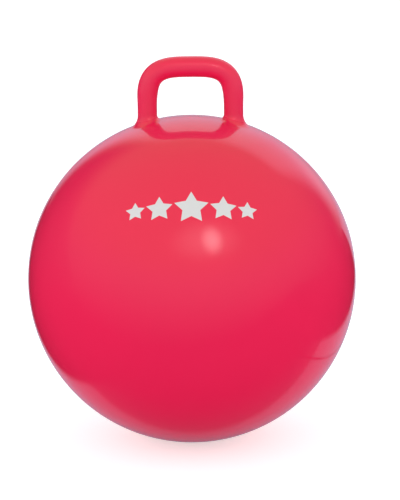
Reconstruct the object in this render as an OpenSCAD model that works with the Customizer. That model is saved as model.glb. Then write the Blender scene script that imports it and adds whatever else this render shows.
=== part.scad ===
// Hopper ball: a blown-up vinyl ball with a moulded loop handle on its crown and a plugged air valve
// in the middle of its back. Millimetres. +Z is up, the front faces -Y, and the origin is the middle
// of the flat on which the ball rests.

/* [Ball] */
// Diameter of the blown-up ball
ball_d = 450; // [360:1:650]
// Wall of the cast skin, the same all over the ball and its handle
skin_wall = 1.3; // [1:0.1:3]
// Width of the flat that the ball's own weight presses on the floor
rest_flat_d = 66; // [40:1:120]

/* [Handle] */
// Distance between the middles of the two legs
leg_spacing = 116.5; // [95:0.5:150]
// Height of the middle of the grip bar over the crown of the ball
grip_rise = 68; // [55:0.5:100]
// Thickness of the grip bar, seen from the front
grip_w = 28; // [20:0.5:34]
// Thickness of the grip bar, front to back
grip_depth = 30; // [20:0.5:36]
// Thickness of a leg at its root, seen from the front
leg_w = 26; // [18:0.5:32]
// Thickness of a leg at its root, front to back
leg_depth = 29; // [18:0.5:36]
// Straight length of a leg between its root blend and the arch
leg_straight = 9; // [1:0.5:15]
// Radius of the blend that carries a leg into the ball, on the leg's outer side
root_blend_out = 20; // [6:0.5:24]
// Radius of that blend on the leg's inner side, under the hand
root_blend_in = 6.5; // [4:0.5:18]
// Width of the plain skin around a blend that is cast with the handle
root_land = 2; // [1:0.5:6]
// Squareness of the arch, where 2 is an ellipse
arch_power = 3.4; // [2.5:0.1:4.5]

/* [Valve seat] */
// Length of the seat, from the outside of the skin inwards
seat_len = 20; // [17:0.5:30]
// Diameter of the seat where it fills the hole in the skin
seat_face_d = 27; // [24:0.5:34]
// Diameter of the flange that is bonded behind the skin
seat_flange_d = 44; // [36:1:60]
// Thickness of the flange at its rim
seat_flange_t = 1.5; // [1:0.1:4]
// Diameter of the seat's tube at its inner end
seat_tube_d = 15; // [13:0.5:18]
// Diameter of the seat's tube where it leaves the flange
seat_tube_root_d = 19; // [16:0.5:24]
// Diameter of the air bore
bore_d = 9; // [7:0.1:11]
// Diameter of the recess that takes the plug's head
recess_d = 19; // [15:0.5:21]
// Depth of the recess that takes the plug's head
recess_depth = 2.6; // [2:0.1:4]
// Width of the bevel round the mouth of the recess
recess_bevel = 1.2; // [0.5:0.1:1.5]

/* [Valve plug] */
// Length of the plug's stem under its head
stem_len = 14; // [10:0.5:16]
// Height of a sealing rib over the stem
rib_h = 0.6; // [0.3:0.1:1]
// Number of sealing ribs
rib_count = 3; // [2:1:4]
// Length of the tapered tip of the stem
tip_len = 2.5; // [1:0.5:4]
// Diameter of the blind core in the stem
core_d = 4; // [2:0.5:4.5]
// Thickness of solid plastic between the core and the top of the head
core_roof = 4; // [3:0.5:6]
// Width of the bevel round the top of the head
head_bevel = 0.6; // [0.3:0.1:1]

/* [Fits] */
// Gap along the weld lines between the skin, the handle and the valve seat
weld_gap = 0.1; // [0.05:0.05:0.2]
// Clearance between the plug and the valve seat, on each side
plug_clearance = 0.15; // [0.1:0.05:0.25]

/* [Hidden] */

$fn = 128;
dome_steps = 4;
skin_colour = "#e92352";
seat_colour = "#d81f4b";
plug_colour = "#f2f2ef";

ball_r = ball_d / 2;
rest_r = rest_flat_d / 2;
centre_z = sqrt(ball_r * ball_r - rest_r * rest_r);

// The handle is a tube of oval section: its rings have this many points, and these many rings
// make each root blend and the arch.
ring_sides = 36;
blend_steps = 6;
arch_steps = 24;
leg_taper_angle = 28;
ring_angles = [for (i = [0 : ring_sides - 1]) 360 * i / ring_sides];
leg_x = leg_spacing / 2;
leg_half = [leg_w / 2, leg_depth / 2];
grip_half = [grip_w / 2, grip_depth / 2];

// Each root ends in a round land, centred on the middle of its blend as seen from the ball's centre.
blend_out_angle = asin((leg_x + leg_half.x + root_blend_out) / (ball_r + root_blend_out));
blend_in_angle = asin((leg_x - leg_half.x - root_blend_in) / (ball_r + root_blend_in));
root_angle = (blend_out_angle + blend_in_angle) / 2;
root_axis = [sin(root_angle), 0, cos(root_angle)];
root_across = [cos(root_angle), 0, -sin(root_angle)];
land_r = max([for (phi = ring_angles) norm(cross(root_axis, blend_point(phi, 1, 0)))]) + root_land;

// The straight legs end just over the highest point of the blend, and the arch springs from there.
spring_z = max([for (phi = ring_angles) blend_centre(phi).z]) + leg_straight;
arch_rise = ball_r + grip_rise - spring_z;

// The valve lies on the ball's axis towards +Y, and its heights are measured from the ball's centre.
flange_face_r = ball_r - skin_wall - weld_gap;
flange_back = dome_height(flange_face_r, seat_flange_d / 2) - seat_flange_t;
seat_end = ball_r - seat_len;
recess_floor = ball_r - recess_depth;
head_r = recess_d / 2 - plug_clearance;
head_under = recess_floor + plug_clearance;
rib_r = bore_d / 2 - plug_clearance;
stem_r = rib_r - rib_h;
stem_end = head_under - stem_len;
rib_pitch = (stem_len - tip_len) / (rib_count + 1);

function unit(v) = v / norm(v);

// Profile of a sphere round the ball's centre, between two distances from the axis
function dome_height(sphere_r, r) = sqrt(sphere_r * sphere_r - r * r);
function dome(sphere_r, from_r, to_r) =
    [for (i = [0 : dome_steps])
        let (r = from_r + (to_r - from_r) * i / dome_steps) [r, dome_height(sphere_r, r)]];

// Direction that turns evenly from one unit vector to another
function turned(from, to, share) =
    let (angle = acos(from * to))
    (sin((1 - share) * angle) * from + sin(share * angle) * to) / sin(angle);

// Step from 0 to 1 that starts and ends level
function eased(share) = let (s = min(share, 1)) s * s * (3 - 2 * s);

function oval(half, phi) = [half.x * cos(phi), half.y * sin(phi)];
function oval_normal(half, phi) = unit([cos(phi) / half.x, sin(phi) / half.y]);

// The blend's radius grows evenly from the inner side of a leg to its outer side
function blend_r(phi) = root_blend_in + (root_blend_out - root_blend_in) * (1 + cos(phi)) / 2;

// Centre of the ball that rolls round the right leg, touching both the leg and the big ball
function blend_centre(phi) =
    let (side = oval(leg_half, phi) + blend_r(phi) * oval_normal(leg_half, phi), x = leg_x + side.x)
    [x, side.y, sqrt(pow(ball_r + blend_r(phi), 2) - x * x - side.y * side.y)];

// Point of the root blend, from the leg at share 0 to the ball at share 1, depth under the surface
function blend_point(phi, share, depth) =
    let (centre = blend_centre(phi), side = oval_normal(leg_half, phi))
    centre - (blend_r(phi) + depth) * turned([side.x, side.y, 0], unit(centre), share);

function land_point(phi, depth) =
    sqrt(pow(ball_r - depth, 2) - land_r * land_r) * root_axis
    + land_r * (cos(phi) * root_across + [0, sin(phi), 0]);

// The middle line of the arch is half of a superellipse over the two legs
function arch_middle(psi) =
    let (across = pow(abs(cos(psi)) / leg_x, arch_power), up = pow(sin(psi) / arch_rise, arch_power))
    pow(across + up, -1 / arch_power) * [cos(psi), 0, sin(psi)];

function arch_normal(psi) =
    let (p = arch_middle(psi))
    unit([sign(p.x) * pow(abs(p.x) / leg_x, arch_power - 1) / leg_x, 0,
          pow(p.z / arch_rise, arch_power - 1) / arch_rise]);

function arch_half(psi) =
    leg_half + eased(min(psi, 180 - psi) / leg_taper_angle) * (grip_half - leg_half);

function arch_ring(psi, depth) =
    let (half = arch_half(psi) - [depth, depth])
    [for (phi = ring_angles)
        [0, 0, spring_z] + arch_middle(psi)
        + half.x * cos(phi) * arch_normal(psi) + [0, half.y * sin(phi), 0]];

function root_rings(depth) = concat(
    [[for (phi = ring_angles) land_point(phi, depth)]],
    [for (i = [0 : blend_steps])
        [for (phi = ring_angles) blend_point(phi, 1 - i / blend_steps, depth)]]);

function mirrored(rings) = [for (ring = rings) [for (p = ring) [-p.x, p.y, p.z]]];
function reversed(list) = [for (i = [len(list) - 1 : -1 : 0]) list[i]];

// Rings of the handle from the right root over the arch to the left root
function handle_rings(depth) = concat(
    root_rings(depth),
    [for (i = [0 : arch_steps]) arch_ring(180 * i / arch_steps, depth)],
    reversed(mirrored(root_rings(depth))));

// Closed tube through rings of equal length, whose last ring joins the first
module closed_tube(rings) {
    sides = len(rings[0]);
    count = len(rings);
    faces = [for (i = [0 : count - 1], j = [0 : sides - 1])
        let (here = i * sides, next = (i + 1) % count * sides, k = (j + 1) % sides)
        each [[here + j, next + k, here + k], [here + j, next + j, next + k]]];
    polyhedron(points = [for (ring = rings) each ring], faces = faces);
}

// Places a shape that is drawn about the ball's centre
module at_centre() translate([0, 0, centre_z]) children();

// Turns a shape that is drawn upwards from the ball's centre to the middle of the back
module at_valve() at_centre() rotate([-90, 0, 0]) children();

// Ball whose surface lies this far under the outside of the skin, with its resting flat
module ball_form(depth) {
    difference() {
        sphere(r = ball_r - depth);
        translate([0, 0, depth - centre_z - ball_d / 2]) cube(ball_d, center = true);
    }
}

// Cast skin of the ball, open at the two handle roots and at the valve
module ball_skin() {
    color(skin_colour) at_centre() difference() {
        ball_form(0);
        ball_form(skin_wall);
        for (side = [-1, 1])
            rotate([0, side * root_angle, 0])
                translate([0, 0, ball_r / 2]) cylinder(r = land_r + weld_gap, h = ball_r);
        rotate([-90, 0, 0])
            translate([0, 0, ball_r / 2]) cylinder(d = seat_face_d + 2 * weld_gap, h = ball_r);
    }
}

// Hollow loop handle, cast with the skin and swept out of it by a rolling-ball blend at each root
module handle_loop() {
    color(skin_colour) at_centre()
        closed_tube(concat(handle_rings(0), reversed(handle_rings(skin_wall))));
}

// Valve seat: a face flush with the skin, a flange bonded behind it and a tube that grips the plug
module valve_seat() {
    mouth_r = recess_d / 2 + recess_bevel;
    profile = concat(
        [[bore_d / 2, seat_end], [seat_tube_d / 2, seat_end], [seat_tube_root_d / 2, flange_back],
         [seat_flange_d / 2, flange_back]],
        dome(flange_face_r, seat_flange_d / 2, seat_face_d / 2),
        dome(ball_r, seat_face_d / 2, mouth_r),
        [[recess_d / 2, dome_height(ball_r, mouth_r) - recess_bevel], [recess_d / 2, recess_floor],
         [bore_d / 2, recess_floor]]);
    color(seat_colour) at_valve() rotate_extrude() polygon(profile);
}

// Stopper with a domed head, barbed sealing ribs and a blind core that lets the stem give
module valve_plug() {
    crown_r = head_r - head_bevel;
    ribs = [for (i = [1 : rib_count])
        let (rib_top = head_under - i * rib_pitch)
        each [[stem_r, rib_top], [rib_r, rib_top - rib_h], [rib_r, rib_top - 2 * rib_h],
              [stem_r, rib_top - rib_pitch / 2 - rib_h]]];
    profile = concat(
        dome(ball_r, 0, crown_r),
        [[head_r, dome_height(ball_r, crown_r) - head_bevel], [head_r, head_under], [stem_r, head_under]],
        ribs,
        [[stem_r, stem_end + tip_len], [(stem_r + core_d / 2) / 2, stem_end], [core_d / 2, stem_end],
         [core_d / 2, ball_r - core_roof - core_d / 2], [0, ball_r - core_roof]]);
    color(plug_colour) at_valve() rotate_extrude() polygon(profile);
}

ball_skin();
handle_loop();
valve_seat();
valve_plug();
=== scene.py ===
import math

import bmesh
import bpy
from mathutils import Matrix, Vector


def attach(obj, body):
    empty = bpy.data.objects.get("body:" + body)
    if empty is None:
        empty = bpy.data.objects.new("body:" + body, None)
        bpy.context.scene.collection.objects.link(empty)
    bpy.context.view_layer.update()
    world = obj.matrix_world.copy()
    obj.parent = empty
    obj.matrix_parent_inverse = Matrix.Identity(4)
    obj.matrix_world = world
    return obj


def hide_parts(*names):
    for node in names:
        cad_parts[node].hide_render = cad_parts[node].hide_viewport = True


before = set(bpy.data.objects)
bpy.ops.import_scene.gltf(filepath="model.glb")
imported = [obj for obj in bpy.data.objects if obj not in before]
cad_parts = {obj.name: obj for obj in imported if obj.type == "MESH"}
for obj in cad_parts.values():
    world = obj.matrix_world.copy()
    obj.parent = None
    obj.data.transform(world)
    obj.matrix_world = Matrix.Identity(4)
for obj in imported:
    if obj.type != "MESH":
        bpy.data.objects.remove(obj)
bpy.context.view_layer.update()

MM = 0.001
RIGHT = (1, 0, 0)
FRONT = (0, -1, 0)
BACK = (0, 1, 0)
UP = (0, 0, 1)
WHITE = (1, 1, 1, 1)

# Sockets of a Mix node that carry colours
MIX_FIRST = 6
MIX_SECOND = 7
MIX_RESULT = 2

# Ball, with the same sizes as its solids
BALL_R = 225 * MM
REST_FLAT_R = 33 * MM
REST_SOFTNESS = 1.6 * MM
SKIN_WALL = 1.3 * MM
CENTRE = Vector((0, 0, math.sqrt(BALL_R ** 2 - REST_FLAT_R ** 2)))

# Handle: two legs of oval section, rooted in the ball by rolling-ball blends, and an arch over them
LEG_X = 58.25 * MM
LEG_HALF = Vector((13 * MM, 14.5 * MM))
GRIP_HALF = Vector((14 * MM, 15 * MM))
GRIP_RISE = 68 * MM
LEG_STRAIGHT = 9 * MM
LEG_TAPER_ANGLE = math.radians(28)
ARCH_POWER = 3.4
ROOT_BLEND_OUT = 20 * MM
ROOT_BLEND_IN = 6.5 * MM
ROOT_LAND = 2 * MM

# Angles round a leg at which the highest and the widest place of its root are looked for
LEG_ANGLES = [math.radians(angle) for angle in range(0, 360, 10)]

# Faint bead that the joint of the mould leaves round the ball and the handle, from this height up
BEAD_HALF_WIDTH = 0.7 * MM
BEAD_HEIGHT = 0.22 * MM
BEAD_START = 2 * MM

# Valve in the middle of the back: its heights are measured from the ball's centre
SEAT_FACE_R = 13.5 * MM
SEAT_FACE_RING_R = 12.3 * MM
SEAT_FLANGE_R = 22 * MM
SEAT_FLANGE_T = 1.5 * MM
SEAT_TUBE_R = 7.5 * MM
SEAT_TUBE_ROOT_R = 9.5 * MM
SEAT_END = BALL_R - 20 * MM
BORE_R = 4.5 * MM
RECESS_R = 9.5 * MM
RECESS_FLOOR = BALL_R - 2.6 * MM
RECESS_BEVEL = 1.2 * MM
WELD_GAP = 0.1 * MM
PLUG_CLEARANCE = 0.15 * MM
STEM_LEN = 14 * MM
RIB_H = 0.6 * MM
RIB_COUNT = 3
TIP_LEN = 2.5 * MM
CORE_R = 2 * MM
CORE_ROOF = 4 * MM

# Plug's head, from the nub in its middle over the dish to its rim: radius and depth in mm
PLUG_HEAD = [(0, 0.45), (0.8, 0.45), (1.1, 0.75), (5.4, 0.7), (6.3, 0.1), (7.4, 0)]

# Rounded edge of the plug's head: distance in from its side and depth in mm
PLUG_HEAD_EDGE = [(0.5, 0.15), (0, 0.75)]

# Skirt of the skin round the valve, which swells over the seat's flange
FLANGE_SWELL = 0.35 * MM
SWELL_START_R = 24 * MM
SWELL_RUN = 3 * MM
SKIRT_R = 27 * MM
SKIRT_ROOM = 3 * MM
SKIRT_RINGS = [radius * MM for radius in (24.5, 23.2, 22.2, 21, 18.5, 16)]

# Fineness and tolerances of the meshes
BALL_CELLS = 72
BLEND_STEPS = 12
LEG_STEPS = 3
ARCH_STEPS = 30
TURN_STEPS = 64
ON_PLANE = 0.01 * MM
MERGE_DISTANCE = 0.005 * MM
SMOOTH_ANGLE = math.radians(40)
BEVEL_ANGLE = math.radians(25)
BEVEL_SEGMENTS = 3
SEAT_BEVEL = 0.3 * MM
PLUG_BEVEL = 0.18 * MM

# Evening out of the ball's cells round a root: angle past its edge, strength and number of turns
RELAX_ANGLE = 0.09
RELAX_STRENGTH = 0.5
RELAX_TURNS = 6

# Row of stars printed on the upper front: distance of each from the middle and its outer radius, in mm
STARS = [(-72, 12.8), (-41, 17.6), (0, 23), (41, 17.6), (72, 12.8)]
STAR_INNER = 0.52
PRINT_LIFT = math.radians(37.4)
PRINT_EDGE = 0.25 * MM
PRINT_COLOUR = (0.68, 0.68, 0.70, 1)
PRINT_ADDED_ROUGHNESS = 0.14

# Colours and finishes, and how deep the orange peel of each is
SKIN_FINISH = {"Colour": (0.80, 0.0095, 0.076, 1), "Clouding": 0.05, "Scuffing": 0.05}
SEAT_FINISH = {"Colour": (0.66, 0.010, 0.062, 1), "Clouding": 0.08, "Roughness": 0.3, "Scuffing": 0.2}
PLUG_FINISH = {"Colour": (0.84, 0.84, 0.82, 1), "Clouding": 0.05, "Roughness": 0.34, "Scuffing": 0.2}
SKIN_PEEL = 0.004 * MM
SEAT_PEEL = 0.02 * MM
PLUG_PEEL = 0.015 * MM
SKIN_IOR = 1.5
SKIN_SPECULAR = 0.34

# Heights over the ball between which its gloss turns to the handle's satin, and the roughness of both
SATIN_HEIGHTS = (0.6 * MM, 7 * MM)
SATIN_ROUGHNESS = (0.055, 0.29)

# Haze in the gloss: everywhere, and added in patches round the handle, where hands and legs rub
HAZE = 0.3
HAZE_ROUGHNESS = 0.33
RUBBED_HAZE = 0.2
RUBBED_REACH = (78 * MM, 122 * MM)
RUBBED_SCALE = 14
RUBBED_ONSET = (0.3, 0.7)
RUBBED_LEVELS = (0.8, 1.1)

# Moulded finish: the scale of each noise, and the values between which it sets in
NOISE_MIDDLE = 0.5
PATCH_DETAIL = 3
CLOUD_SCALE = 11
SCUFF_TURN = (0.5, 0.3, 0.9)
SCUFF_STRETCH = (40, 700, 160)
SCUFF_ONSET = (0.66, 0.8)
SCUFFED_SCALE = 16
SCUFFED_ONSET = (0.55, 0.75)
DULL_SCALE = 23
DULL_ONSET = (0.3, 0.7)
DULL_ADDED_ROUGHNESS = 0.025
PEEL_SCALE = 420

# Camera: its aim is this far to the right of the ball's centre and above it
VIEW_LIFT = math.radians(13.7)
VIEW_ROLL = math.radians(-0.45)
VIEW_DISTANCE = 2.8
VIEW_LENS = 146.4
VIEW_SENSOR = 36
VIEW_AIM = (11.4 * MM, 38.9 * MM)

# Ceiling light in the gloss: reach along its axis, levels at both ends of it, and tints by height
CEILING_AXIS = (-0.02, -0.42, 0.91)
CEILING_REACH = (-0.29, 1.09)
CEILING_LEVELS = (0.01, 1.1)
CEILING_TINTS = ((1, 0.98, 0.75, 1), (1, 0.99, 0.35, 1))
CEILING_TINT_HEIGHTS = (0.1, 0.5)

# Dark wing behind on the left in the gloss: the tangents aside and upward between which it fades
WING_SIDES = (-0.62, -0.38)
WING_HEIGHTS = (0.4, 1.5)
WING_DARKNESS = 0.9

# Backdrop in the gloss: tangent and softness of each edge, lean of the sides, and levels across
BACKDROP_SIDES = [((-0.42, 0.12), 0.06, (0, 1)), ((0.62, 0.22), 0.5, (1, 0))]
BACKDROP_ENDS = [((-0.02, 0.34), (0, 1)), ((1.3, 0.3), (1, 0))]
BACKDROP_LIGHT = 0.73
BACKDROP_TINT = (0.98, 0.92, 1.2)

# Softboxes in the gloss, by axis, half sizes and light: the highlight, its halo and a faint panel
SOFTBOXES = [((0.225, -0.722, 0.608), 0.165, 0.22, 5.1),
             ((0.16, -0.74, 0.62), 0.55, 0.32, 1.3),
             ((0.5, 0.86, 0.09), 0.35, 0.3, 0.22)]
SOFTBOX_CORE = 0.1
SOFTBOX_TINT = (1, 1, 1)

# Least reach of a direction along a light's axis, which keeps its tangents finite
LEAST_AHEAD = 0.001

# Fill on the object: levels from horizon to zenith, front to back, middle to side and left to right
FILL_HEIGHTS = (1.77, 0.53)
FILL_DEPTHS = (0.95, 1.05)
FILL_SIDES = (0.875, 1.38)
FILL_LEFT_TO_RIGHT = (1.04, 0.96)
FILL_BELOW = 0.5
FILL_BELOW_EDGE = (-0.1, 0)

# Sheet of paper on the floor in the gloss: its edges are lines with a direction, a place and a softness
PAPER_IN_GLOSS = (0.37, 0.40, 0.52, 1)
PAPER_FRONT = (-0.11, 0.012)
PAPER_FRONT_CURVE = 0.5
PAPER_FRONT_RISE = 0.18
PAPER_LEFT = ((1, 0.28, 0), -0.255, 0.02)
PAPER_RIGHT = [((-1, 0.1, 0), -0.45, 0.03), ((-1, 0.68, 0), 0.155, 0.03)]

# Seam on the right of the paper: its line, its half width, and how it fades to the back
PAPER_SEAM = ((1, 0.05, 0), 0.335)
PAPER_SEAM_HALF = (0.003, 0.007)
PAPER_SEAM_FADE = (0, 0.07, 0, 0.6)

# Light that spills forward over the front edge of the paper
SPILL_REACH = (-0.24, -0.07)
SPILL_GLOW = 0.18
SPILL_TINT = (0.95, 0.95, 1.25, 1)

# Floor: to the camera, to the fill, and in the gloss, where it is dark near the ball and far off bears
# painted light, as bright and warm as the ceiling light
FLOOR_SIZE = 30
FLOOR_COLOUR = (0.82, 0.81, 0.83, 1)
FLOOR_GLOW = 0.55
FLOOR_LIFT = 0.09
DARK_FLOOR_IN_GLOSS = (0.012, 0.012, 0.014, 1)
DARK_FLOOR_WAY = (-0.2, -1, 0)
DARK_FLOOR_REACH = 0.5
# Painted light: the far floor in the gloss is coloured as bright and warm as the ceiling light over it
FAR_FLOOR_PAINTED_LIGHT = (0.82, 0.80, 0.66, 1)
FAR_FLOOR_SHARES = (0.21, 0.78)


def eased(share):
    """A share from 0 to 1 with a soft start and a soft end."""
    return share * share * (3 - 2 * share)


def front_axes(lift):
    """Directions out of and up along a plane at the front that is tilted back by an angle."""
    out = Vector((0, -math.cos(lift), math.sin(lift)))
    up = Vector((0, math.sin(lift), math.cos(lift)))
    return out, up


def pick(piece, kind, test):
    """In edit mode, selects only the faces, edges or vertices that pass the test."""
    bpy.ops.mesh.select_mode(type={"faces": "FACE", "edges": "EDGE", "verts": "VERT"}[kind])
    bpy.ops.mesh.select_all(action="DESELECT")
    mesh = bmesh.from_edit_mesh(piece.data)
    for part in getattr(mesh, kind):
        if test(part):
            part.select_set(True)
    bmesh.update_edit_mesh(piece.data)


def cut_out(piece, test):
    """In edit mode, deletes the faces whose middle passes the test."""
    pick(piece, "faces", lambda face: test(face.calc_center_median()))
    bpy.ops.mesh.delete(type="FACE")


def merge_and_turn_out():
    """In edit mode, merges vertices that coincide and turns all faces outward."""
    bpy.ops.mesh.select_all(action="SELECT")
    bpy.ops.mesh.remove_doubles(threshold=MERGE_DISTANCE)
    bpy.ops.mesh.normals_make_consistent(inside=False)


def finish_modifier(piece, kind, **settings):
    """Adds a modifier with these settings and applies it."""
    modifier = piece.modifiers.new(kind.lower(), kind)
    for name, value in settings.items():
        setattr(modifier, name, value)
    bpy.context.view_layer.objects.active = piece
    bpy.ops.object.modifier_apply(modifier=modifier.name)


def oval_normal(half, phi):
    """Outward direction on an oval section."""
    return Vector((math.cos(phi) / half.x, math.sin(phi) / half.y, 0)).normalized()


def blend_radius(phi):
    """The root blend is wider on the outer side of a leg, at phi 0, than on its inner side."""
    return ROOT_BLEND_IN + (ROOT_BLEND_OUT - ROOT_BLEND_IN) * (1 + math.cos(phi)) / 2


def blend_centre(phi):
    """Centre of the ball that rolls round the right leg, touching both the leg and the big ball."""
    radius = blend_radius(phi)
    side = Vector((LEG_HALF.x * math.cos(phi), LEG_HALF.y * math.sin(phi), 0))
    place = Vector((LEG_X, 0, 0)) + side + radius * oval_normal(LEG_HALF, phi)
    place.z = math.sqrt((BALL_R + radius) ** 2 - place.x ** 2 - place.y ** 2)
    return place


def blend_point(phi, share):
    """Point of the root blend, from the leg at share 0 to the ball at share 1."""
    centre = blend_centre(phi)
    way = oval_normal(LEG_HALF, phi).slerp(centre.normalized(), share)
    return centre - blend_radius(phi) * way


def root_axis():
    """Direction of the middle of the right root, from the ball's centre."""
    outer = math.asin((LEG_X + LEG_HALF.x + ROOT_BLEND_OUT) / (BALL_R + ROOT_BLEND_OUT))
    inner = math.asin((LEG_X - LEG_HALF.x - ROOT_BLEND_IN) / (BALL_R + ROOT_BLEND_IN))
    angle = (outer + inner) / 2
    return Vector((math.sin(angle), 0, math.cos(angle)))


def land_radius(sides):
    """Radius of the round edge, on the ball, that the whole root blend lies inside."""
    axis = root_axis()
    return max(axis.cross(blend_point(phi, 1)).length for phi in sides) + ROOT_LAND


def spring_height():
    """Height over the ball's centre at which the straight legs end and the arch springs."""
    return max(blend_centre(phi).z for phi in LEG_ANGLES) + LEG_STRAIGHT


def arch_rise():
    """Height of the grip's middle line over the spring of the arch."""
    return BALL_R + GRIP_RISE - spring_height()


def arch_middle(psi):
    """Point of the arch's middle line, half a superellipse, from the right leg up to the grip."""
    across = (abs(math.cos(psi)) / LEG_X) ** ARCH_POWER
    up = (math.sin(psi) / arch_rise()) ** ARCH_POWER
    return (across + up) ** (-1 / ARCH_POWER) * Vector((math.cos(psi), 0, math.sin(psi)))


def arch_normal(psi):
    """Direction across the arch, away from the hand gap."""
    rise = arch_rise()
    point = arch_middle(psi)
    across = (abs(point.x) / LEG_X) ** (ARCH_POWER - 1) / LEG_X
    up = (point.z / rise) ** (ARCH_POWER - 1) / rise
    return Vector((across, 0, up)).normalized()


def arch_ring(psi, sides):
    """Ring of the arch, whose section grows from the leg's to the grip's."""
    half = LEG_HALF.lerp(GRIP_HALF, eased(min(psi / LEG_TAPER_ANGLE, 1)))
    middle = Vector((0, 0, spring_height())) + arch_middle(psi)
    normal = arch_normal(psi)
    return [middle + half.x * math.cos(phi) * normal + Vector((0, half.y * math.sin(phi), 0))
            for phi in sides]


def handle_rings(sides):
    """Rings of the right half of the handle, from its blend on the ball to the middle of the grip."""
    rings = [[blend_point(phi, 1 - i / BLEND_STEPS) for phi in sides] for i in range(BLEND_STEPS + 1)]
    leg_foot = rings[-1]
    leg_head = arch_ring(0, sides)
    for i in range(1, LEG_STEPS):
        rings.append([foot.lerp(head, i / LEG_STEPS) for foot, head in zip(leg_foot, leg_head)])
    for i in range(ARCH_STEPS + 1):
        rings.append(arch_ring(math.pi / 2 * i / ARCH_STEPS, sides))
    return rings


def half_ball():
    """Right half of the ball: a cube cut into cells, rounded, with its left half taken off."""
    bpy.ops.object.select_all(action="DESELECT")
    bpy.ops.mesh.primitive_cube_add(size=2 * BALL_R, location=CENTRE)
    skin = bpy.context.object
    skin.name = "ball_and_handle"
    bpy.ops.object.mode_set(mode="EDIT")
    bpy.ops.mesh.subdivide(number_cuts=BALL_CELLS - 1)
    bpy.ops.object.mode_set(mode="OBJECT")
    finish_modifier(skin, "CAST", factor=1, use_radius_as_size=False, size=BALL_R)
    bpy.ops.object.transform_apply(location=True, rotation=True, scale=True)
    bpy.ops.object.mode_set(mode="EDIT")
    cut_out(skin, lambda middle: middle.x < 0)
    bpy.ops.object.mode_set(mode="OBJECT")
    return skin


def open_root(skin):
    """Cuts the handle's root out of the ball, rounds the edge of the hole and numbers its vertices."""
    axis = root_axis()
    across = Vector((axis.z, 0, -axis.x))
    reach = math.asin(land_radius(LEG_ANGLES) / BALL_R)
    bpy.ops.object.mode_set(mode="EDIT")
    cut_out(skin, lambda middle: (middle - CENTRE).angle(axis) < reach)
    mesh = bmesh.from_edit_mesh(skin.data)
    side_number = mesh.verts.layers.int.new("side")
    rim = [vert for vert in mesh.verts if vert.is_boundary and vert.co.x > ON_PLANE]
    rim.sort(key=lambda vert: math.atan2(vert.co.y, (vert.co - CENTRE).dot(across)) % math.tau)
    sides = [math.tau * i / len(rim) for i in range(len(rim))]
    radius = land_radius(sides)
    for i, (vert, phi) in enumerate(zip(rim, sides)):
        ring_way = math.cos(phi) * across + Vector((0, math.sin(phi), 0))
        vert.co = CENTRE + math.sqrt(BALL_R ** 2 - radius ** 2) * axis + radius * ring_way
        vert[side_number] = i
    bmesh.update_edit_mesh(skin.data)
    relax_round_root(skin, axis, radius)
    return sides


def relax_round_root(skin, axis, radius):
    """Evens out the cells round a root, and sets them back on the ball."""
    reach = math.asin(radius / BALL_R) + RELAX_ANGLE
    pick(skin, "verts", lambda vert: not vert.is_boundary and (vert.co - CENTRE).angle(axis) < reach)
    bpy.ops.mesh.vertices_smooth(factor=RELAX_STRENGTH, repeat=RELAX_TURNS)
    mesh = bmesh.from_edit_mesh(skin.data)
    for vert in mesh.verts:
        if vert.select:
            vert.co = CENTRE + BALL_R * (vert.co - CENTRE).normalized()
    bmesh.update_edit_mesh(skin.data)


def grow_handle(skin, sides):
    """Draws the handle out of the root hole, one extruded ring after another."""
    def round_hole(edge):
        return edge.is_boundary and max(vert.co.x for vert in edge.verts) > ON_PLANE

    pick(skin, "edges", round_hole)
    for ring in handle_rings(sides):
        bpy.ops.mesh.extrude_edges_indiv()
        mesh = bmesh.from_edit_mesh(skin.data)
        side_number = mesh.verts.layers.int["side"]
        for vert in mesh.verts:
            if vert.select:
                vert.co = CENTRE + ring[vert[side_number]]
        bmesh.update_edit_mesh(skin.data)
    bpy.ops.object.mode_set(mode="OBJECT")


def press_rest_flat(skin):
    """Flattens the ball where its weight presses it on the floor, with a soft edge."""
    for vert in skin.data.vertices:
        softness = max(REST_SOFTNESS - abs(vert.co.z), 0) / REST_SOFTNESS
        vert.co.z = max(vert.co.z, 0) + softness ** 2 * REST_SOFTNESS / 4


def raise_mould_bead(skin):
    """Bevels the edges in the mould's parting plane and lifts their middle line a little."""
    def in_plane(vert):
        return abs(vert.co.y) < ON_PLANE

    bpy.ops.object.mode_set(mode="EDIT")
    pick(skin, "edges", lambda edge: all(in_plane(vert) for vert in edge.verts))
    bpy.ops.mesh.bevel(offset=BEAD_HALF_WIDTH, segments=2, profile=0.5)
    pick(skin, "verts", lambda vert: in_plane(vert) and vert.co.z > BEAD_START)
    bpy.ops.transform.shrink_fatten(value=BEAD_HEIGHT)
    bpy.ops.object.mode_set(mode="OBJECT")


def dome(radius, sphere_r=BALL_R):
    """Height of a sphere round the ball's centre, this far from the valve's axis."""
    return math.sqrt(sphere_r ** 2 - radius ** 2)


def turned(name, profile):
    """Round piece on the valve's axis: its half profile is drawn point by point and spun."""
    points = [CENTRE + Vector((radius, height, 0)) for radius, height in profile]
    bpy.ops.object.select_all(action="DESELECT")
    bpy.ops.mesh.primitive_plane_add(size=MM, location=points[0])
    piece = bpy.context.object
    piece.name = name
    bpy.ops.object.transform_apply(location=True, rotation=True, scale=True)
    bpy.ops.object.mode_set(mode="EDIT")
    bpy.ops.mesh.select_mode(type="VERT")
    bpy.ops.mesh.merge(type="CENTER")
    for here, there in zip(points, points[1:]):
        bpy.ops.mesh.extrude_vertices_move(TRANSFORM_OT_translate={"value": there - here})
    bpy.ops.mesh.select_all(action="SELECT")
    bpy.ops.mesh.spin(steps=TURN_STEPS, angle=math.tau, center=CENTRE, axis=BACK)
    merge_and_turn_out()
    bpy.ops.object.mode_set(mode="OBJECT")
    return piece


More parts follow.
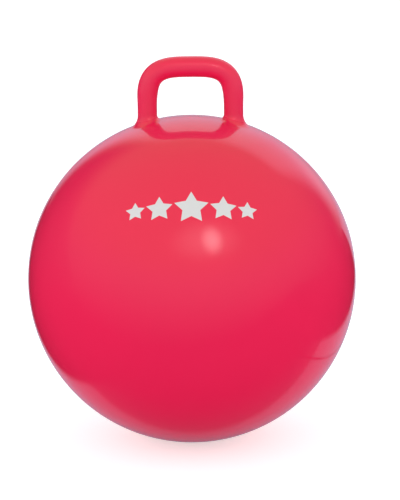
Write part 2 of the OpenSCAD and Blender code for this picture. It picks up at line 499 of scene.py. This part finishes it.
def round_edges(piece, width):
    """Rounds the sharp edges of a turned piece and shades the rest smooth."""
    finish_modifier(piece, "BEVEL", width=width, segments=BEVEL_SEGMENTS, limit_method="ANGLE",
                    angle_limit=BEVEL_ANGLE)
    bpy.ops.object.shade_smooth_by_angle(angle=SMOOTH_ANGLE)


def open_valve(skin):
    """Cuts the valve's hole, and fits a skirt round it that swells over the seat's bonded flange."""
    def from_axis(place):
        return math.hypot(place.x, place.z - CENTRE.z) if place.y > 0 else BALL_R

    def beside_gap(edge):
        middle = (edge.verts[0].co + edge.verts[1].co) / 2
        return edge.is_boundary and from_axis(middle) > SKIRT_R - SKIRT_ROOM

    bpy.ops.object.mode_set(mode="EDIT")
    cut_out(skin, lambda middle: from_axis(middle) < SKIRT_R + SKIRT_ROOM)
    bpy.ops.object.mode_set(mode="OBJECT")
    profile = []
    for radius in (SKIRT_R, *SKIRT_RINGS, SEAT_FACE_R + WELD_GAP):
        share = min(max((SWELL_START_R - radius) / SWELL_RUN, 0), 1)
        profile.append((radius, dome(radius) + FLANGE_SWELL * eased(share)))
    skirt = turned("valve_skirt", profile)
    skirt.select_set(True)
    skin.select_set(True)
    bpy.context.view_layer.objects.active = skin
    bpy.ops.object.join()
    bpy.ops.object.mode_set(mode="EDIT")
    pick(skin, "edges", beside_gap)
    bpy.ops.mesh.bridge_edge_loops()
    bpy.ops.object.mode_set(mode="OBJECT")


def make_skin():
    """Ball and handle, one casting, modelled as its right half, mirrored and given its wall."""
    skin = half_ball()
    sides = open_root(skin)
    grow_handle(skin, sides)
    finish_modifier(skin, "MIRROR", use_axis=(True, False, False), merge_threshold=ON_PLANE)
    press_rest_flat(skin)
    raise_mould_bead(skin)
    open_valve(skin)
    bpy.ops.object.mode_set(mode="EDIT")
    merge_and_turn_out()
    bpy.ops.object.mode_set(mode="OBJECT")
    finish_modifier(skin, "SOLIDIFY", thickness=SKIN_WALL, offset=-1)
    bpy.ops.object.shade_smooth_by_angle(angle=SMOOTH_ANGLE)
    return skin


def make_seat():
    """Valve seat: a face flush with the skin, a flange bonded behind it and a tube for the plug."""
    flange_face = BALL_R - SKIN_WALL - WELD_GAP
    flange_edge = dome(SEAT_FLANGE_R, flange_face)
    flange_back = flange_edge - SEAT_FLANGE_T
    mouth_r = RECESS_R + RECESS_BEVEL
    mouth = dome(mouth_r) + FLANGE_SWELL
    profile = [(BORE_R, SEAT_END), (SEAT_TUBE_R, SEAT_END), (SEAT_TUBE_ROOT_R, flange_back),
               (SEAT_FLANGE_R, flange_back), (SEAT_FLANGE_R, flange_edge),
               (SEAT_FACE_R, dome(SEAT_FACE_R, flange_face)),
               (SEAT_FACE_R, dome(SEAT_FACE_R) + FLANGE_SWELL),
               (SEAT_FACE_RING_R, dome(SEAT_FACE_RING_R) + FLANGE_SWELL),
               (mouth_r, mouth), (RECESS_R, mouth - RECESS_BEVEL),
               (RECESS_R, RECESS_FLOOR), (BORE_R, RECESS_FLOOR), (BORE_R, SEAT_END)]
    seat = turned("valve_seat_moulding", profile)
    round_edges(seat, SEAT_BEVEL)
    return seat


def make_plug():
    """Stopper with a dished head, barbed sealing ribs and a blind core that lets the stem give."""
    top = BALL_R
    head_r = RECESS_R - PLUG_CLEARANCE
    head_under = RECESS_FLOOR + PLUG_CLEARANCE
    rib_r = BORE_R - PLUG_CLEARANCE
    stem_r = rib_r - RIB_H
    stem_end = head_under - STEM_LEN
    pitch = (STEM_LEN - TIP_LEN) / (RIB_COUNT + 1)
    profile = [(radius * MM, top - depth * MM) for radius, depth in PLUG_HEAD]
    profile += [(head_r - inset * MM, top - depth * MM) for inset, depth in PLUG_HEAD_EDGE]
    profile += [(head_r, head_under), (stem_r, head_under)]
    for i in range(1, RIB_COUNT + 1):
        rib_top = head_under - i * pitch
        profile += [(stem_r, rib_top), (rib_r, rib_top - RIB_H), (rib_r, rib_top - 2 * RIB_H),
                    (stem_r, rib_top - pitch / 2 - RIB_H)]
    profile += [(stem_r, stem_end + TIP_LEN), ((stem_r + CORE_R) / 2, stem_end), (CORE_R, stem_end),
                (CORE_R, top - CORE_ROOF - CORE_R), (0, top - CORE_ROOF)]
    plug = turned("valve_plug_moulding", profile)
    round_edges(plug, PLUG_BEVEL)
    return plug


def add_node(tree, kind, **settings):
    """New node with these settings."""
    made = tree.nodes.new(kind)
    for name, value in settings.items():
        setattr(made, name, value)
    return made


def feed(tree, socket, value):
    """Links an input to a socket, or sets it to a value."""
    if isinstance(value, bpy.types.NodeSocket):
        tree.links.new(value, socket)
    elif value is not None:
        socket.default_value = value


def math_node(tree, operation, first, second=None):
    """Result of a math node on sockets or numbers."""
    made = add_node(tree, "ShaderNodeMath", operation=operation)
    for socket, value in zip(made.inputs, (first, second)):
        feed(tree, socket, value)
    return made.outputs[0]


def chained(tree, operation, values):
    """Result of math nodes in a row, each on the result so far and the next value."""
    result = values[0]
    for value in values[1:]:
        result = math_node(tree, operation, result, value)
    return result


def product(tree, *values):
    """Product of sockets and numbers."""
    return chained(tree, "MULTIPLY", values)


def total(tree, *values):
    """Sum of sockets and numbers."""
    return chained(tree, "ADD", values)


def hypotenuse(tree, first, second):
    """Length of the long side over two right-angled sides."""
    squares = [product(tree, side, side) for side in (first, second)]
    return math_node(tree, "SQRT", total(tree, *squares))


def vector_node(tree, operation, first, second=None, output="Vector"):
    """Result of a vector math node on sockets or vectors."""
    made = add_node(tree, "ShaderNodeVectorMath", operation=operation)
    feed(tree, made.inputs[0], first)
    feed(tree, made.inputs[1], second)
    return made.outputs[output]


def along(tree, vector, direction):
    """How far a vector reaches along a direction."""
    return vector_node(tree, "DOT_PRODUCT", vector, direction, "Value")


def distance_from(tree, place, point):
    """Distance of a place from a point."""
    return vector_node(tree, "DISTANCE", place, point, "Value")


def scaled(tree, colour, level):
    """Colour times a level."""
    made = add_node(tree, "ShaderNodeVectorMath", operation="SCALE")
    feed(tree, made.inputs[0], colour)
    feed(tree, made.inputs["Scale"], level)
    return made.outputs[0]


def noise_value(tree, coordinates, scale, detail=2):
    """Noise between 0 and 1."""
    made = add_node(tree, "ShaderNodeTexNoise")
    feed(tree, made.inputs["Vector"], coordinates)
    made.inputs["Scale"].default_value = scale
    made.inputs["Detail"].default_value = detail
    return made.outputs["Fac"]


def ramp_value(tree, value, low, high, to_low=0, to_high=1, smooth=True):
    """A value that runs from one level to another while the given one runs from low to high."""
    made = add_node(tree, "ShaderNodeMapRange",
                    interpolation_type="SMOOTHSTEP" if smooth else "LINEAR")
    feed(tree, made.inputs["Value"], value)
    made.inputs["From Min"].default_value = low
    made.inputs["From Max"].default_value = high
    made.inputs["To Min"].default_value = to_low
    made.inputs["To Max"].default_value = to_high
    return made.outputs["Result"]


def soft_edge(tree, value, edge, soft, before=0, after=1):
    """Turns from one level to another where a value passes an edge of this softness."""
    return ramp_value(tree, value, edge - soft, edge + soft, before, after)


def mix_colour(tree, share, first, second):
    """Mix of two colours, the second by this share."""
    made = add_node(tree, "ShaderNodeMix", data_type="RGBA")
    feed(tree, made.inputs["Factor"], share)
    feed(tree, made.inputs[MIX_FIRST], first)
    feed(tree, made.inputs[MIX_SECOND], second)
    return made.outputs[MIX_RESULT]


def object_place(tree):
    """Place on a piece, in the part's frame."""
    return add_node(tree, "ShaderNodeTexCoord").outputs["Object"]


def seen_directly(tree, rays):
    """1 for what the camera sees, also through a clear piece."""
    return math_node(tree, "MAXIMUM", rays["Is Camera Ray"], rays["Is Transmission Ray"])


def new_group(name, sockets_in, sockets_out):
    """Empty shader node group with these named inputs and outputs."""
    group = bpy.data.node_groups.new(name, "ShaderNodeTree")
    for direction, sockets in (("INPUT", sockets_in), ("OUTPUT", sockets_out)):
        for socket_name, kind in sockets:
            group.interface.new_socket(name=socket_name, in_out=direction, socket_type=kind)
    return group, add_node(group, "NodeGroupInput"), add_node(group, "NodeGroupOutput")


def use_group(tree, group, **values):
    """Node of a group, with its inputs linked or set."""
    made = add_node(tree, "ShaderNodeGroup", node_tree=group)
    for name, value in values.items():
        feed(tree, made.inputs[name.replace("_", " ")], value)
    return made


def moulded_finish_group():
    """Soft moulded plastic: faint clouding, orange peel, duller patches and a few fine scuffs."""
    group, given, result = new_group(
        "moulded_finish",
        [("Colour", "NodeSocketColor"), ("Clouding", "NodeSocketFloat"),
         ("Roughness", "NodeSocketFloat"), ("Scuffing", "NodeSocketFloat")],
        [("Colour", "NodeSocketColor"), ("Roughness", "NodeSocketFloat"),
         ("Peel", "NodeSocketFloat")])
    given = given.outputs
    place = object_place(group)
    cloud = noise_value(group, place, CLOUD_SCALE, PATCH_DETAIL)
    swing = math_node(group, "SUBTRACT", cloud, NOISE_MIDDLE)
    tone = total(group, 1, product(group, swing, given["Clouding"]))
    feed(group, result.inputs["Colour"], scaled(group, given["Colour"], tone))
    streaks = add_node(group, "ShaderNodeMapping")
    streaks.inputs["Rotation"].default_value = SCUFF_TURN
    streaks.inputs["Scale"].default_value = SCUFF_STRETCH
    feed(group, streaks.inputs["Vector"], place)
    scratch = ramp_value(group, noise_value(group, streaks.outputs[0], 1), *SCUFF_ONSET)
    patch = ramp_value(group, noise_value(group, place, SCUFFED_SCALE), *SCUFFED_ONSET)
    scuff = product(group, scratch, patch, given["Scuffing"])
    dull = ramp_value(group, noise_value(group, place, DULL_SCALE, PATCH_DETAIL), *DULL_ONSET)
    rough = total(group, given["Roughness"], product(group, dull, DULL_ADDED_ROUGHNESS), scuff)
    feed(group, result.inputs["Roughness"], rough)
    feed(group, result.inputs["Peel"], noise_value(group, place, PEEL_SCALE))
    return group


def star_group():
    """Mask of one plump five-point star in the plane of the print."""
    group, given, result = new_group(
        "printed_star",
        [("Across", "NodeSocketFloat"), ("Up", "NodeSocketFloat"), ("Left Off", "NodeSocketFloat"),
         ("Size", "NodeSocketFloat")],
        [("Mask", "NodeSocketFloat")])
    given = given.outputs
    tenth = math.pi / 5
    normal = Vector((STAR_INNER * math.sin(tenth), 1 - STAR_INNER * math.cos(tenth)))
    edge = normal.x / normal.length
    normal.normalize()
    across = math_node(group, "SUBTRACT", given["Across"], given["Left Off"])
    reach = hypotenuse(group, across, given["Up"])
    turn = math_node(group, "ARCTAN2", across, given["Up"])
    folded = math_node(group, "PINGPONG", turn, tenth)
    lengthwise = product(group, math_node(group, "COSINE", folded), normal.x)
    crosswise = product(group, math_node(group, "SINE", folded), normal.y)
    depth = product(group, reach, total(group, lengthwise, crosswise))
    outside = math_node(group, "SUBTRACT", depth, product(group, given["Size"], edge))
    feed(group, result.inputs["Mask"], soft_edge(group, outside, 0, PRINT_EDGE, 1, 0))
    return group


def print_mask(tree, place):
    """Mask of the row of stars, laid on the upper front along the plane that faces it."""
    star = star_group()
    from_centre = vector_node(tree, "SUBTRACT", place, CENTRE)
    out_way, up_way = front_axes(PRINT_LIFT)
    across = along(tree, from_centre, RIGHT)
    up = along(tree, from_centre, up_way)
    mask = 0
    for offset, size in STARS:
        placed = use_group(tree, star, Across=across, Up=up, Left_Off=offset * MM, Size=size * MM)
        mask = math_node(tree, "MAXIMUM", mask, placed.outputs["Mask"])
    on_front = math_node(tree, "GREATER_THAN", along(tree, from_centre, out_way), 0)
    return product(tree, mask, on_front)


def new_material(name):
    """New material, with its node tree and its shader."""
    material = bpy.data.materials.new(name)
    material.use_nodes = True
    return material, material.node_tree, material.node_tree.nodes["Principled BSDF"]


def mould(tree, shader, finish, peel, **look):
    """Gives a shader the roughness and peel of the moulded finish, and returns its colour."""
    made = use_group(tree, finish, **look)
    feed(tree, shader.inputs["Roughness"], made.outputs["Roughness"])
    bump = add_node(tree, "ShaderNodeBump")
    bump.inputs["Strength"].default_value = 1
    bump.inputs["Distance"].default_value = peel
    feed(tree, bump.inputs["Height"], made.outputs["Peel"])
    feed(tree, shader.inputs["Normal"], bump.outputs["Normal"])
    return made.outputs["Colour"]


def skin_vinyl(finish):
    """Red vinyl with the pale print: glossy on the ball, satin on the handle, hazy where rubbed."""
    material, tree, shader = new_material("red_cast_vinyl")
    place = object_place(tree)
    height = math_node(tree, "SUBTRACT", distance_from(tree, place, CENTRE), BALL_R)
    satin = ramp_value(tree, height, *SATIN_HEIGHTS)
    printed = print_mask(tree, place)
    rough = total(tree, ramp_value(tree, satin, 0, 1, *SATIN_ROUGHNESS, smooth=False),
                  product(tree, printed, PRINT_ADDED_ROUGHNESS))
    red = mould(tree, shader, finish, SKIN_PEEL, Roughness=rough, **SKIN_FINISH)
    feed(tree, shader.inputs["Base Color"], mix_colour(tree, printed, red, PRINT_COLOUR))
    shader.inputs["IOR"].default_value = SKIN_IOR
    shader.inputs["Specular IOR Level"].default_value = SKIN_SPECULAR
    crown = CENTRE + Vector((0, 0, BALL_R))
    rubbed = ramp_value(tree, distance_from(tree, place, crown), *RUBBED_REACH, 1, 0)
    patchy = ramp_value(tree, noise_value(tree, place, RUBBED_SCALE, PATCH_DETAIL),
                        *RUBBED_ONSET, *RUBBED_LEVELS)
    more_haze = product(tree, rubbed, patchy, math_node(tree, "SUBTRACT", 1, satin), RUBBED_HAZE)
    feed(tree, shader.inputs["Coat Weight"], total(tree, more_haze, HAZE))
    shader.inputs["Coat Roughness"].default_value = HAZE_ROUGHNESS
    return material


def plain_plastic(name, finish, peel, **look):
    """Moulded plastic of one colour."""
    material, tree, shader = new_material(name)
    feed(tree, shader.inputs["Base Color"], mould(tree, shader, finish, peel, **look))
    return material


def dress(piece, material, body, slot, *nodes):
    """Gives a finished piece its material and its body, and hides the CAD nodes that it stands for."""
    piece.data.materials.clear()
    piece.data.materials.append(material)
    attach(piece, body)
    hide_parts(*nodes)


def past_line(tree, place, way, edge, soft):
    """1 on the far side of a straight line on the floor, 0 before it."""
    return soft_edge(tree, along(tree, place, way), edge, soft)


def paper_masks(tree, place):
    """Where the sheet of paper lies: a bowed front edge, straight sides that widen to the back, and a
    narrow seam on the right. The second mask is the light that spills forward over its front edge."""
    aside = along(tree, place, RIGHT)
    depth = along(tree, place, BACK)
    bow = math_node(tree, "MINIMUM", product(tree, aside, aside, PAPER_FRONT_CURVE), PAPER_FRONT_RISE)
    behind_front = math_node(tree, "SUBTRACT", depth, bow)
    right_sides = [past_line(tree, place, *line) for line in PAPER_RIGHT]
    seam_way, seam_edge = PAPER_SEAM
    from_seam = math_node(tree, "SUBTRACT", along(tree, place, seam_way), seam_edge)
    beside_seam = ramp_value(tree, math_node(tree, "ABSOLUTE", from_seam), *PAPER_SEAM_HALF)
    seam_end = ramp_value(tree, depth, *PAPER_SEAM_FADE)
    width = product(tree, past_line(tree, place, *PAPER_LEFT),
                    math_node(tree, "MAXIMUM", *right_sides),
                    math_node(tree, "MAXIMUM", beside_seam, seam_end))
    sheet = product(tree, width, soft_edge(tree, behind_front, *PAPER_FRONT))
    spill = product(tree, width, ramp_value(tree, behind_front, *SPILL_REACH))
    return sheet, spill


def bare_floor(tree, place):
    """Floor in the gloss: dark near the ball, and far off in front painted as bright and as warm as the
    ceiling light over it.
    """
    forward = math_node(tree, "MAXIMUM", along(tree, place, DARK_FLOOR_WAY), DARK_FLOOR_REACH)
    far = math_node(tree, "SUBTRACT", 1, math_node(tree, "DIVIDE", DARK_FLOOR_REACH, forward))
    front = along(tree, vector_node(tree, "NORMALIZE", place), FRONT)
    # Painted light: far off in front, the floor in the gloss turns to the ceiling light's brightness
    # and warm tint
    painted_light = product(tree, ramp_value(tree, front, 0, 1, *FAR_FLOOR_SHARES, smooth=False), far)
    return mix_colour(tree, painted_light, DARK_FLOOR_IN_GLOSS, FAR_FLOOR_PAINTED_LIGHT)


def make_floor():
    """Plain pale floor, white to the camera where no shadow falls on it. Gloss shows a sheet of paper
    under the ball and a darker floor round it."""
    bpy.ops.object.select_all(action="DESELECT")
    bpy.ops.mesh.primitive_plane_add(size=FLOOR_SIZE)
    floor = bpy.context.object
    floor.name = "floor"
    material, tree, shader = new_material("pale_floor")
    tree.nodes.remove(shader)
    rays = add_node(tree, "ShaderNodeLightPath").outputs
    glossy = rays["Is Glossy Ray"]
    place = object_place(tree)
    paper, spill = paper_masks(tree, place)
    in_gloss = mix_colour(tree, paper, bare_floor(tree, place), PAPER_IN_GLOSS)
    pale = add_node(tree, "ShaderNodeBsdfDiffuse")
    feed(tree, pale.inputs["Color"], mix_colour(tree, glossy, FLOOR_COLOUR, in_gloss))
    glow = add_node(tree, "ShaderNodeEmission")
    feed(tree, glow.inputs["Color"], mix_colour(tree, glossy, WHITE, SPILL_TINT))
    glow_level = total(tree, product(tree, seen_directly(tree, rays), FLOOR_GLOW),
                       product(tree, glossy, spill, SPILL_GLOW),
                       product(tree, rays["Is Diffuse Ray"], FLOOR_LIFT))
    feed(tree, glow.inputs["Strength"], glow_level)
    both = add_node(tree, "ShaderNodeAddShader")
    feed(tree, both.inputs[0], pale.outputs[0])
    feed(tree, both.inputs[1], glow.outputs[0])
    feed(tree, tree.nodes["Material Output"].inputs["Surface"], both.outputs[0])
    material.cycles.emission_sampling = "NONE"
    floor.data.materials.append(material)


def panel_plane(tree, way, axis):
    """Sideways and upward tangents of a direction, as seen along a panel's axis."""
    axis = Vector(axis).normalized()
    across = axis.cross(Vector(UP)).normalized()
    upward = across.cross(axis)
    ahead = math_node(tree, "MAXIMUM", along(tree, way, axis), LEAST_AHEAD)
    return [math_node(tree, "DIVIDE", along(tree, way, side), ahead) for side in (across, upward)]


def ceiling_light(tree, way):
    """Broad ceiling light, warmer overhead, with a dark wing behind on the left."""
    axis = Vector(CEILING_AXIS).normalized()
    ceiling = ramp_value(tree, along(tree, way, axis), *CEILING_REACH, *CEILING_LEVELS)
    aside, above = panel_plane(tree, way, BACK)
    wing = product(tree, ramp_value(tree, aside, *WING_SIDES, 1, 0),
                   ramp_value(tree, above, *WING_HEIGHTS, 1, 0),
                   math_node(tree, "GREATER_THAN", along(tree, way, BACK), 0))
    bright = math_node(tree, "SUBTRACT", 1, product(tree, wing, WING_DARKNESS))
    overhead = ramp_value(tree, along(tree, way, UP), *CEILING_TINT_HEIGHTS)
    return scaled(tree, mix_colour(tree, overhead, *CEILING_TINTS), product(tree, ceiling, bright))


def backdrop_light(tree, way):
    """Backdrop behind the ball, with soft edges and leaning sides."""
    aside, above = panel_plane(tree, way, BACK)
    light = BACKDROP_LIGHT
    for edge, lean, levels in BACKDROP_SIDES:
        leaning = math_node(tree, "SUBTRACT", aside, product(tree, above, lean))
        light = product(tree, soft_edge(tree, leaning, *edge, *levels), light)
    for edge, levels in BACKDROP_ENDS:
        light = product(tree, soft_edge(tree, above, *edge, *levels), light)
    return scaled(tree, BACKDROP_TINT, light)


def softbox_light(tree, way, axis, half_width, half_height, strength):
    """Oval softbox that fades from its middle to its edge."""
    aside, above = panel_plane(tree, way, axis)
    reach = hypotenuse(tree, math_node(tree, "DIVIDE", aside, half_width),
                       math_node(tree, "DIVIDE", above, half_height))
    return scaled(tree, SOFTBOX_TINT, ramp_value(tree, reach, SOFTBOX_CORE, 1, strength, 0))


def mirrored_studio(tree, way):
    """All the lights that the gloss mirrors."""
    shine = ceiling_light(tree, way)
    lamps = [backdrop_light(tree, way)]
    lamps += [softbox_light(tree, way, *softbox) for softbox in SOFTBOXES]
    for lamp in lamps:
        shine = vector_node(tree, "ADD", shine, lamp)
    return shine


def fill_light(tree, way):
    """Soft light on the object, stronger from the sides than from above."""
    height = along(tree, way, UP)
    sideways = along(tree, way, RIGHT)
    return product(
        tree,
        ramp_value(tree, height, 0, 1, *FILL_HEIGHTS, smooth=False),
        ramp_value(tree, along(tree, way, BACK), -1, 1, *FILL_DEPTHS, smooth=False),
        ramp_value(tree, height, *FILL_BELOW_EDGE, FILL_BELOW, 1),
        ramp_value(tree, product(tree, sideways, sideways), 0, 1, *FILL_SIDES, smooth=False),
        ramp_value(tree, sideways, -1, 1, *FILL_LEFT_TO_RIGHT, smooth=False))


def make_world():
    """Soft studio: the gloss mirrors its lights, the object takes the fill and the camera sees white.
    Light sampling is off, because with it on the mirrored lights and the fill would mix."""
    world = bpy.data.worlds.new("studio")
    bpy.context.scene.world = world
    world.use_nodes = True
    tree = world.node_tree
    rays = add_node(tree, "ShaderNodeLightPath").outputs
    way = add_node(tree, "ShaderNodeTexCoord").outputs["Generated"]
    studio = mix_colour(tree, rays["Is Glossy Ray"], fill_light(tree, way), mirrored_studio(tree, way))
    sky = tree.nodes["Background"]
    feed(tree, sky.inputs["Color"], mix_colour(tree, seen_directly(tree, rays), studio, WHITE))
    sky.inputs["Strength"].default_value = 1
    world.cycles.sampling_method = "NONE"


def make_camera():
    """Camera a little above the ball, in front of it."""
    bpy.ops.object.camera_add()
    camera = bpy.context.object
    out, up = front_axes(VIEW_LIFT)
    aim_right, aim_up = VIEW_AIM
    camera.location = CENTRE + VIEW_DISTANCE * out
    aim = CENTRE + Vector((aim_right, 0, 0)) + aim_up * up
    turn = (camera.location - aim).to_track_quat("Z", "Y").to_matrix()
    camera.rotation_euler = (turn @ Matrix.Rotation(VIEW_ROLL, 3, "Z")).to_euler()
    camera.data.lens = VIEW_LENS
    camera.data.sensor_width = VIEW_SENSOR
    bpy.context.scene.camera = camera


finish = moulded_finish_group()
seat_vinyl = plain_plastic("red_seat_vinyl", finish, SEAT_PEEL, **SEAT_FINISH)
plug_plastic = plain_plastic("white_plug_plastic", finish, PLUG_PEEL, **PLUG_FINISH)
dress(make_skin(), skin_vinyl(finish), "ball", "skin_vinyl", "ball_skin", "handle_loop")
dress(make_seat(), seat_vinyl, "ball", "seat_vinyl", "valve_seat")
dress(make_plug(), plug_plastic, "plug", "plug_plastic", "valve_plug")
make_floor()
make_world()
make_camera()
bpy.context.scene.view_settings.view_transform = "Standard"
